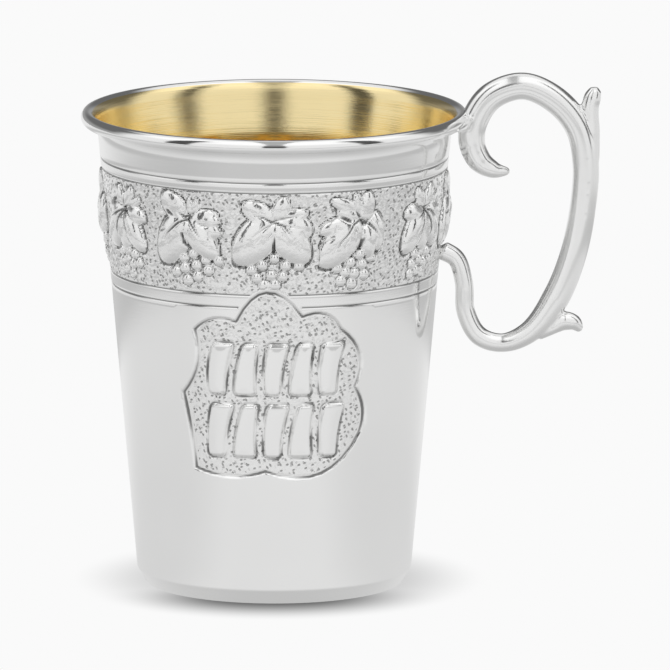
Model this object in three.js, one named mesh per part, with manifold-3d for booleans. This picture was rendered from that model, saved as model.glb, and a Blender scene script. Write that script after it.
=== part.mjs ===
// A child's kiddush cup: a small raised silver beaker with a chased vine band,
// a lobed cartouche on its front and a cast scroll handle soldered to its side.
// Millimetres, +Z up. The cup's axis is Z, it stands on z = 0, its front faces -Y
// and the handle lies in the XZ plane, on the +X side.
import * as THREE from 'three';
import { mergeVertices } from 'three/addons/utils/BufferGeometryUtils.js';
import Module from 'manifold-3d';

const wasm = await Module();
wasm.setup();

// ---- Driving dimensions of the beaker ------------------------------------
const CUP_HEIGHT = 75; // to the crest of the lip
const LIP_RADIUS = 30.4; // over the rolled bead
const BEAD_RADIUS = 1.1;
const BASE_RADIUS = 21.4; // where the straight wall would meet the table
const TAPER = 0.0885; // outward lean of the wall, mm for each mm of height
const SHEET = 0.65; // gauge of the silver
const FOOT_RADIUS = 20.3; // flat underside
const FOOT_HEIGHT = 2.25; // where the turned-in foot meets the wall
const NECK_HEIGHT = 70.8; // top of the straight wall
const FLARE_DROP = 5; // height of the bell mouth inside the lip
const FLOOR_THICKNESS = 0.9;
const FLOOR_CORNER = 1.6; // rounding where the floor meets the wall inside
const FACETS = 48; // flats around the beaker

// Engraved lines, two under the vine band and two over it.
const LINE_HEIGHTS = [47.9, 49.9, 66.2, 67.8];
const LINE_WIDTH = 0.5;
const LINE_DEPTH = 0.2;

// ---- Driving dimensions of the vine band ---------------------------------
const CLUSTERS = 12; // a leaf with its bunch, evenly spaced
const LEAF_HEART = 62; // height of the point where the veins meet
const HEART_RISE = 0.55;
const NOTCH_RISE = 0.5;
const SUNK = 0.35; // how far each boss runs into the wall
// Each lobe: direction from the heart in degrees, 90 is up, length and how far
// it stands off the wall.
const LOBES = [
  { direction: 12, length: 5.2, rise: 1.0 },
  { direction: 78, length: 4.2, rise: 0.85 },
  { direction: 158, length: 5.2, rise: 0.9 },
  { direction: 231, length: 8.0, rise: 1.4 },
  { direction: 303, length: 7.4, rise: 1.4 },
];
const LOBE_SHOULDER = 16; // degrees from a lobe's tip to its shoulder
const SHOULDER_REACH = 0.9; // of the lobe's length
const NOTCH_REACH = 0.62; // of the mean of the two lobes beside it
const LEAF_LEANS = [0, 16, -14, -6]; // degrees, taken in turn round the band

const GRAPE_RADIUS = 0.88;
const GRAPE_SIDES = 5;
const BUNCH_TOP = 55.9; // height of the bunch's first row
const BUNCH_STEP = 1.55; // down to the next row
const BUNCH_ROWS = [3, 3, 2]; // grapes in each row
const GRAPE_PITCH = 1.85; // along a row
const HANDLE_CLUSTER = 0; // index of the cluster behind the handle

// ---- Driving dimensions of the cartouche ---------------------------------
const FIELD_DEPTH = 0.25; // its ground is beaten down below the wall
const STROKE_RISE = 0.2; // the strokes stand this far above the wall
// Cusps of the outline as seen from the front, x and z, and how far the arc
// that follows each one bulges out.
const CUSPS = [
  { x: -6.1, z: 45.6, bulge: 4.4 },
  { x: 4.4, z: 46.5, bulge: 1.5 },
  { x: 10.5, z: 44.2, bulge: 1.9 },
  { x: 12.7, z: 34.7, bulge: 0.9 },
  { x: 13.4, z: 27.2, bulge: 3.6 },
  { x: -1.4, z: 21.5, bulge: 1.0 },
  { x: -12.3, z: 21.6, bulge: -0.2 },
  { x: -14.3, z: 33.6, bulge: -1.3 },
  { x: -12.6, z: 43.9, bulge: 1.2 },
];
const ARC_STEPS = 5;
const STROKE_ROWS = [
  { z: 37.9, height: 8.2 },
  { z: 28.0, height: 8.4 },
];
const STROKE_SPAN = 20.4; // width of a row
const STROKES = 5; // in each row
const STROKE_WIDTH = 2.9;
const STROKE_LEAN = 0.9; // sideways shift from foot to head

// ---- Driving dimensions of the handle ------------------------------------
const SOLDER_GAP = 0.3; // clearance between the handle and the beaker
const HANDLE_STEPS = 44;
const HANDLE_SIDES = 8;
const DEPTH_RATIO = 0.94; // the rod's depth along Y to its width
// Stations along the rod, from the free tip of the curl, over the top, down the
// outside and round the S to the wall: x, z and the rod's width there.
const ROD = [
  [36.7, 65.15, 1.2],
  [34.5, 65.4, 2.75],
  [32.2, 66.9, 3.85],
  [30.95, 69.9, 4.25],
  [31.5, 73.6, 4.4],
  [34.0, 77.1, 4.4],
  [39.0, 78.75, 4.3],
  [44.1, 76.5, 4.35],
  [47.65, 72.2, 4.25],
  [48.85, 66.5, 4.2],
  [48.45, 59.5, 4.15],
  [46.9, 51.8, 4.3],
  [44.1, 44.75, 4.4],
  [40.1, 39.55, 3.55],
  [35.9, 37.8, 2.95],
  [32.15, 38.95, 3.1],
  [30.1, 42.8, 3.0],
  [29.8, 47.4, 2.9],
  [28.6, 51.2, 2.9],
  [26.4, 52.6, 3.1],
];
// The thumb leaf at the top and the thorn at the bottom, in the same way.
const THUMB_LEAF = [
  [50.0, 63.0, 0.9],
  [50.1, 67.5, 1.9],
  [49.75, 71.5, 2.7],
  [49.5, 75.2, 2.85],
  [49.9, 77.0, 2.8],
  [50.4, 78.15, 2.0],
];
const THORN = [
  [41.5, 39.4, 2.4],
  [44.2, 40.5, 2.3],
  [45.8, 41.3, 3.1],
  [47.2, 40.95, 2.6],
  [48.15, 39.95, 1.3],
];
const SPUR_STEPS = 8;
const SPUR_SIDES = 6;
// Tapered tongues that clasp the outside of the lip, one each way.
const TONGUE_SWEEP = 19; // degrees round the lip
const TONGUE_STEPS = 6;
const TONGUE_WIDTH = 2.0;
const TONGUE_DROP = 0.6; // below the middle of the bead

// ---- Helpers --------------------------------------------------------------
const wallAt = (z) => BASE_RADIUS + TAPER * z;
const radians = THREE.MathUtils.degToRad;

// A closed three.js geometry as a solid that can be joined and cut.
function solidOf(geometry) {
  const bare = geometry.clone();
  bare.deleteAttribute('normal');
  bare.deleteAttribute('uv');
  const merged = mergeVertices(bare, 1e-4);
  const corners = merged.index.array;
  const kept = [];
  for (let i = 0; i < corners.length; i += 3) {
    const [a, b, c] = [corners[i], corners[i + 1], corners[i + 2]];
    if (a !== b && b !== c && c !== a) kept.push(a, b, c);
  }
  const mesh = new wasm.Mesh({
    numProp: 3,
    vertProperties: new Float32Array(merged.attributes.position.array),
    triVerts: new Uint32Array(kept),
  });
  return new wasm.Manifold(mesh);
}

function geometryOf(solid) {
  const mesh = solid.getMesh();
  const geometry = new THREE.BufferGeometry();
  geometry.setAttribute('position', new THREE.BufferAttribute(mesh.vertProperties, 3));
  geometry.setIndex(new THREE.BufferAttribute(mesh.triVerts, 1));
  geometry.computeVertexNormals();
  return geometry;
}

// Turns a profile of Vector2 (radius, height) round the Z axis.
function turned(profile) {
  return solidOf(new THREE.LatheGeometry(profile, FACETS).rotateX(Math.PI / 2));
}

// Rings of equal size joined into a closed skin, with a point at each end.
function skin(rings, start, end) {
  const sides = rings[0].length;
  const points = [start, ...rings.flat(), end];
  const faces = [];
  const last = points.length - 1;
  const at = (ring, side) => 1 + ring * sides + (side % sides);
  for (let side = 0; side < sides; side++) {
    faces.push(0, at(0, side + 1), at(0, side));
    faces.push(last, at(rings.length - 1, side), at(rings.length - 1, side + 1));
    for (let ring = 0; ring + 1 < rings.length; ring++) {
      faces.push(at(ring, side), at(ring, side + 1), at(ring + 1, side));
      faces.push(at(ring, side + 1), at(ring + 1, side + 1), at(ring + 1, side));
    }
  }
  const geometry = new THREE.BufferGeometry().setFromPoints(points);
  geometry.setIndex(faces);
  return solidOf(geometry);
}

const joined = (solids) => solids.reduce((all, one) => all.add(one));

// ---- The beaker -----------------------------------------------------------
function arc(x, y, radius, from, to, steps) {
  const curve = new THREE.EllipseCurve(x, y, radius, radius, radians(from), radians(to));
  return curve.getPoints(steps);
}

function bend(start, control, end, steps) {
  return new THREE.QuadraticBezierCurve(start, control, end).getPoints(steps);
}

function engravedLine(z) {
  const half = LINE_WIDTH / 2;
  return [
    new THREE.Vector2(wallAt(z - half), z - half),
    new THREE.Vector2(wallAt(z) - LINE_DEPTH, z),
    new THREE.Vector2(wallAt(z + half), z + half),
  ];
}

function beakerProfile() {
  const beadX = LIP_RADIUS - BEAD_RADIUS;
  const beadZ = CUP_HEIGHT - BEAD_RADIUS;
  const neck = new THREE.Vector2(wallAt(NECK_HEIGHT), NECK_HEIGHT);
  const bead = arc(beadX, beadZ, BEAD_RADIUS, -120, 90, 7);
  const underLip = new THREE.Vector2(neck.x + 0.15, bead[0].y - 0.5);
  const flareFoot = CUP_HEIGHT - FLARE_DROP;
  const crest = bead[bead.length - 1];
  const bellEnd = new THREE.Vector2(wallAt(flareFoot) - SHEET, flareFoot);
  const bellControl = new THREE.Vector2(bellEnd.x + 0.4, CUP_HEIGHT - 0.4);
  const floorEdge = FLOOR_THICKNESS + FLOOR_CORNER;
  const innerWall = new THREE.Vector2(wallAt(floorEdge) - SHEET, floorEdge);
  const cornerControl = new THREE.Vector2(innerWall.x - 0.1, FLOOR_THICKNESS);
  const floorStart = new THREE.Vector2(innerWall.x - FLOOR_CORNER, FLOOR_THICKNESS);
  return [
    new THREE.Vector2(0, 0),
    new THREE.Vector2(FOOT_RADIUS, 0),
    new THREE.Vector2(wallAt(FOOT_HEIGHT), FOOT_HEIGHT),
    ...LINE_HEIGHTS.flatMap(engravedLine),
    ...bend(neck, underLip, bead[0], 2).slice(0, -1),
    ...bead,
    ...bend(crest, bellControl, bellEnd, 3).slice(1),
    ...bend(innerWall, cornerControl, floorStart, 2),
    new THREE.Vector2(0, FLOOR_THICKNESS),
  ];
}

// The wall between two offsets from its outer face, over the full height.
function wallShell(low, high, bottom, top) {
  return turned([
    new THREE.Vector2(wallAt(bottom) + low, bottom),
    new THREE.Vector2(wallAt(bottom) + high, bottom),
    new THREE.Vector2(wallAt(top) + high, top),
    new THREE.Vector2(wallAt(top) + low, top),
    new THREE.Vector2(wallAt(bottom) + low, bottom),
  ]);
}

// A point on the wall, from an angle round Z, a shift along the wall, a height
// and a lift off the wall.
function onWall(angle, shift, z, lift) {
  const turn = angle + shift / wallAt(z);
  const radius = wallAt(z) + lift;
  return new THREE.Vector3(radius * Math.cos(turn), radius * Math.sin(turn), z);
}

// A boss on the wall: an outline of polar points sunk into it, a raised ring
// inside that and a middle.
function boss(angle, shift, z, outline, ringReach, middleRise) {
  const ring = (scale, lift) => outline.map((corner) => onWall(
    angle,
    shift + scale * corner.reach * Math.cos(corner.turn),
    z + scale * corner.reach * Math.sin(corner.turn),
    lift(corner),
  ));
  return skin(
    [ring(1, () => -SUNK), ring(ringReach, (corner) => corner.crown)],
    onWall(angle, shift, z, -SUNK),
    onWall(angle, shift, z, middleRise),
  );
}

function leafOutline(lean) {
  return LOBES.flatMap((lobe, i) => {
    const next = LOBES[(i + 1) % LOBES.length];
    const gap = THREE.MathUtils.euclideanModulo(next.direction - lobe.direction, 360);
    const corner = (degrees, reach, crown) => ({
      turn: radians(degrees + lean), reach, crown,
    });
    const notch = NOTCH_REACH * (lobe.length + next.length) / 2;
    return [
      corner(lobe.direction - LOBE_SHOULDER, lobe.length * SHOULDER_REACH, lobe.rise),
      corner(lobe.direction, lobe.length, lobe.rise),
      corner(lobe.direction + LOBE_SHOULDER, lobe.length * SHOULDER_REACH, lobe.rise),
      corner(lobe.direction + gap / 2, notch, NOTCH_RISE),
    ];
  });
}

function grapeOutline() {
  return Array.from({ length: GRAPE_SIDES }, (_, side) => ({
    turn: (side / GRAPE_SIDES) * 2 * Math.PI,
    reach: GRAPE_RADIUS,
    crown: GRAPE_RADIUS * 0.85,
  }));
}

function bunch(angle) {
  const grapes = [];
  BUNCH_ROWS.forEach((count, row) => {
    for (let i = 0; i < count; i++) {
      const shift = (i - (count - 1) / 2) * GRAPE_PITCH + (row % 2 ? 0.5 : 0) * GRAPE_PITCH;
      const z = BUNCH_TOP - row * BUNCH_STEP;
      grapes.push(boss(angle, shift, z, grapeOutline(), 0.55, GRAPE_RADIUS));
    }
  });
  return grapes;
}

function vineBand() {
  const bosses = [];
  for (let i = 0; i < CLUSTERS; i++) {
    const angle = (i / CLUSTERS) * 2 * Math.PI;
    const outline = leafOutline(LEAF_LEANS[i % LEAF_LEANS.length]);
    bosses.push(boss(angle, 0, LEAF_HEART, outline, 0.7, HEART_RISE));
    if (i !== HANDLE_CLUSTER) bosses.push(...bunch(angle));
  }
  return joined(bosses);
}

// ---- The cartouche --------------------------------------------------------
// Points of an arc from one cusp to the next, without the last, bulging to the
// left of the way it runs.
function cuspArc(from, to, bulge) {
  const chord = new THREE.Vector2(to.x - from.x, to.z - from.z);
  const side = new THREE.Vector2(-chord.y, chord.x).normalize();
  return Array.from({ length: ARC_STEPS }, (_, i) => {
    const t = i / ARC_STEPS;
    const swell = 4 * t * (1 - t) * bulge;
    return new THREE.Vector2(
      from.x + t * chord.x + swell * side.x,
      from.z + t * chord.y + swell * side.y,
    );
  });
}

function cartoucheShape() {
  return new THREE.Shape(CUSPS.flatMap((cusp, i) => (
    cuspArc(cusp, CUSPS[(i + 1) % CUSPS.length], cusp.bulge)
  )));
}

// One slanting stroke with cut corners, as seen from the front.
function strokeShape(x, z, height) {
  const half = STROKE_WIDTH / 2;
  const cut = STROKE_WIDTH * 0.3;
  const foot = z - height / 2;
  const head = z + height / 2;
  const left = x - STROKE_LEAN / 2;
  const right = x + STROKE_LEAN / 2;
  return new THREE.Shape([
    new THREE.Vector2(left - half, foot + cut),
    new THREE.Vector2(left - half + cut, foot),
    new THREE.Vector2(left + half - cut, foot),
    new THREE.Vector2(left + half, foot + cut),
    new THREE.Vector2(right + half, head - cut),
    new THREE.Vector2(right + half - cut, head),
    new THREE.Vector2(right - half + cut, head),
    new THREE.Vector2(right - half, head - cut),
  ]);
}

// A shape drawn on the front, kept where it meets the wall.
function frontPanel(shape, low, high) {
  const block = new THREE.ExtrudeGeometry(shape, { depth: LIP_RADIUS, bevelEnabled: false });
  const facing = solidOf(block.rotateX(Math.PI / 2));
  return facing.intersect(wallShell(low, high, FOOT_HEIGHT, NECK_HEIGHT));
}

function strokes() {
  return joined(STROKE_ROWS.flatMap((row) => (
    Array.from({ length: STROKES }, (_, i) => {
      const pitch = (STROKE_SPAN - STROKE_WIDTH) / (STROKES - 1);
      const x = i * pitch - (STROKE_SPAN - STROKE_WIDTH) / 2;
      return frontPanel(strokeShape(x, row.z, row.height), -SUNK, STROKE_RISE);
    })
  )));
}

function beaker() {
  const field = frontPanel(cartoucheShape(), -FIELD_DEPTH, SUNK);
  return turned(beakerProfile()).subtract(field).add(strokes()).add(vineBand());
}

// ---- The handle -----------------------------------------------------------
// A rod through stations in the XZ plane, with a width at each, rounded at both
// ends.
function rod(stations, steps, sides) {
  const path = new THREE.CatmullRomCurve3(
    stations.map(([x, z]) => new THREE.Vector3(x, 0, z)), false, 'centripetal',
  );
  const widthAt = (t) => {
    const place = t * (stations.length - 1);
    const i = Math.min(Math.floor(place), stations.length - 2);
    return THREE.MathUtils.lerp(stations[i][2], stations[i + 1][2], place - i);
  };
  const rings = [];
  const tips = [];
  for (let step = 0; step <= steps; step++) {
    const t = step / steps;
    const middle = path.getPoint(t);
    const along = path.getTangent(t);
    const across = new THREE.Vector3(along.z, 0, -along.x);
    const half = widthAt(t) / 2;
    if (step === 0) tips.push(middle.clone().addScaledVector(along, -half * 0.6));
    if (step === steps) tips.push(middle.clone().addScaledVector(along, half * 0.6));
    rings.push(Array.from({ length: sides }, (_, side) => {
      const turn = (side / sides) * 2 * Math.PI;
      const point = middle.clone().addScaledVector(across, half * Math.cos(turn));
      point.y = half * DEPTH_RATIO * Math.sin(turn);
      return point;
    }));
  }
  return skin(rings, tips[0], tips[1]);
}

// One tongue round the outside of the lip; way is 1 or -1.
function tongue(way) {
  const rings = [];
  const reach = LIP_RADIUS + SOLDER_GAP;
  const z = CUP_HEIGHT - BEAD_RADIUS - TONGUE_DROP;
  const sides = 6;
  const at = (turn, out, up) => new THREE.Vector3(
    (reach + out) * Math.cos(turn), (reach + out) * Math.sin(turn), z + up,
  );
  for (let step = 0; step <= TONGUE_STEPS; step++) {
    const t = step / TONGUE_STEPS;
    const half = TONGUE_WIDTH / 2 * Math.sqrt(1 - 0.85 * t * t);
    const turn = way * radians(TONGUE_SWEEP) * t;
    rings.push(Array.from({ length: sides }, (_, side) => {
      const round = -way * (side / sides) * 2 * Math.PI;
      return at(turn, half * 0.7 * Math.cos(round), half * Math.sin(round));
    }));
  }
  return skin(rings, at(0, 0, 0), at(way * radians(TONGUE_SWEEP + 1.5), 0, 0));
}

// What the handle must stay clear of: the beaker's outside, grown by the gap.
function clearance() {
  const beadX = LIP_RADIUS - BEAD_RADIUS;
  const beadZ = CUP_HEIGHT - BEAD_RADIUS;
  const neckX = wallAt(NECK_HEIGHT) + SOLDER_GAP;
  return turned([
    new THREE.Vector2(0, FOOT_HEIGHT),
    new THREE.Vector2(wallAt(FOOT_HEIGHT) + SOLDER_GAP, FOOT_HEIGHT),
    new THREE.Vector2(neckX, NECK_HEIGHT),
    ...arc(beadX, beadZ, BEAD_RADIUS + SOLDER_GAP, -120, 90, 9),
    new THREE.Vector2(0, CUP_HEIGHT + SOLDER_GAP),
  ]);
}

function scrollHandle() {
  const cast = joined([
    rod(ROD, HANDLE_STEPS, HANDLE_SIDES),
    rod(THUMB_LEAF, SPUR_STEPS, SPUR_SIDES),
    rod(THORN, SPUR_STEPS, SPUR_SIDES),
    tongue(1),
    tongue(-1),
  ]);
  return cast.subtract(clearance());
}

// ---- The cup --------------------------------------------------------------
function piece(name, solid, material) {
  const mesh = new THREE.Mesh(geometryOf(solid), material);
  mesh.name = name;
  return mesh;
}

const polishedSilver = new THREE.MeshStandardMaterial({
  color: 0xd8d9da, roughness: 0.12, metalness: 1,
});
const castSilver = new THREE.MeshStandardMaterial({
  color: 0xe0e1e2, roughness: 0.2, metalness: 1,
});

const cup = new THREE.Group();
cup.name = 'kiddush_cup';
cup.add(piece('cup_body', beaker(), polishedSilver));
cup.add(piece('handle', scrollHandle(), castSilver));

export default cup;
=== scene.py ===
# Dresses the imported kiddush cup: the raised silver beaker with its chased vine band,
# cartouche and gilt inside, and the cast scroll handle, on a pale studio floor.
# Lengths are in millimetres, as in the CAD model, until a mesh is made. The front faces
# -Y and the handle lies at +X.
import math

import bpy
import numpy as np
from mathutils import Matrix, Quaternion, Vector


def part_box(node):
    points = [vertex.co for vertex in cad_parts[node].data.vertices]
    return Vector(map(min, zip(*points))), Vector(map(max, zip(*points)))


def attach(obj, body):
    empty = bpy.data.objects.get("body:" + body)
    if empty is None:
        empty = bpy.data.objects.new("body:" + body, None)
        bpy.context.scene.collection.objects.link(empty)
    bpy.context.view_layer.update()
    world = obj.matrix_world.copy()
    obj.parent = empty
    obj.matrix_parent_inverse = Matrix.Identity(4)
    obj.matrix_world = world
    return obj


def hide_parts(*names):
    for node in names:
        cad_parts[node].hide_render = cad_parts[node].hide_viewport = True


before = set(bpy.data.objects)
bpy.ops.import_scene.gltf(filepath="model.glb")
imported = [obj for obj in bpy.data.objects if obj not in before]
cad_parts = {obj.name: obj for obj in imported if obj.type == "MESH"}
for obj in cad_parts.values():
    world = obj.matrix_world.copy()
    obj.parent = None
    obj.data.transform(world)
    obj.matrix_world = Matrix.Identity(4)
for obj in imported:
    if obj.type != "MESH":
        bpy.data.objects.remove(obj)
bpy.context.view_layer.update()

MM = 0.001
TAU = 2 * math.pi
rng = np.random.default_rng(613)

# ---- Sizes of the beaker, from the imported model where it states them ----
_, BEAKER_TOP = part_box("cup_body")
CUP_HEIGHT = BEAKER_TOP[2] / MM
LIP_RADIUS = BEAKER_TOP[0] / MM
BEAD_RADIUS = 1.1
BEAD_FULLNESS, BEAD_FLATNESS = 0.72, 1.25  # powers that square the bead's front a little
BASE_RADIUS = 21.4  # where the straight wall would meet the table
TAPER = 0.0885  # outward lean of the wall
SHEET = 0.65  # gauge of the silver
FOOT_RADIUS = 20.3
FOOT_HEIGHT = 2.25  # the turned-in foot
CONE_FOOT = FOOT_HEIGHT + 0.3
NECK_HEIGHT = 70.8  # where the outside starts to bend out to the lip
FLARE_DROP = 8.2  # how far below the lip the inside starts to open
FLOOR_THICKNESS = 0.9
FLOOR_CORNER = 1.6

BAND_LINES = (49.9, 66.2)  # engraved lines that bound the vine band
OUTER_LINES = (47.9, 67.8)  # and one more on each side
LINE_HALF_WIDTH = 0.13
LINE_DEPTH = 0.15
LINE_DARK = 0.8  # darkness of the painted shade in a line, where 1 is darkest
LINE_CLEAR = 0.3  # rows of the mesh this near to a line are its own

CLUSTERS = 12
LEAF_HEART = 61.6  # height of the point where the veins meet
FRONT = -math.pi / 2  # direction of the cup's front, round Z
WALL_MIDDLE_RADIUS = 26.5  # where the mark "along" counts mm round the cup


def wall_at(z):
    return BASE_RADIUS + TAPER * z


def smooth(low, high, x):
    """0 below low, 1 above high, with an eased ramp between."""
    t = np.clip((x - low) / (high - low), 0.0, 1.0)
    return t * t * (3 - 2 * t)


def bump(x, middle, half_width):
    """1 where x is at the middle, falling away to 0 on both sides."""
    return np.exp(-((x - middle) / half_width) ** 2)


def dome(edge, flatness):
    """A rounded mound, 1 in its middle and 0 where edge is 1 or more."""
    return np.clip(1 - edge ** flatness, 0, 1) ** 0.6


# ---- Chased ground: punch marks on a hash grid that runs round the cup ----
PIT_PITCH = 0.86  # mean distance between marks
PIT_JITTER = 0.7  # how much of its cell a mark may lie in
PIT_FAINTEST = 0.25  # depth of the faintest mark, where 1 is the full depth
PIT_LENGTH = 0.34  # half length of a mark
PIT_WIDTH = 0.17
PIT_DEPTH = 0.09
PIT_COLUMNS = 196  # grid cells round the cup
PIT_ROWS = 64
PIT_TABLE = rng.random((PIT_COLUMNS, PIT_ROWS, 4))
SWELL = 0.022  # unevenness of the punched ground
SWELL_RADIUS = 26.0


def jitter(share):
    return 0.5 + PIT_JITTER * (share - 0.5)


def punch_marks(theta, z):
    """Depth of the punch marks, from 0 down."""
    column_width = TAU / PIT_COLUMNS
    along = theta / column_width
    up = z / PIT_PITCH
    depth = np.zeros_like(z)
    base_column = np.floor(along).astype(int)
    base_row = np.floor(up).astype(int)
    for dc in (-1, 0, 1):
        for dr in (-1, 0, 1):
            column = base_column + dc
            row = base_row + dr
            mark = PIT_TABLE[column % PIT_COLUMNS, row % PIT_ROWS]
            ds = (along - column - jitter(mark[..., 0])) * column_width * wall_at(z)
            dz = (up - row - jitter(mark[..., 1])) * PIT_PITCH
            turn = mark[..., 2] * math.pi
            p = ds * np.cos(turn) + dz * np.sin(turn)
            q = -ds * np.sin(turn) + dz * np.cos(turn)
            strength = PIT_FAINTEST + (1 - PIT_FAINTEST) * mark[..., 3]
            depth = np.minimum(depth, -PIT_DEPTH * strength * np.exp(
                -(p / PIT_LENGTH) ** 2 - (q / PIT_WIDTH) ** 2))
    return depth


def unevenness(theta, z):
    """Slow swell of hand-worked metal, about 1 either way."""
    s = theta * SWELL_RADIUS
    return (np.sin(0.9 * s + 1.3 * z) * np.sin(1.7 * z - 0.6 * s + 1.0)
            + 0.6 * np.sin(2.1 * s + 0.4) * np.sin(2.6 * z + 0.8 * s))


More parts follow.
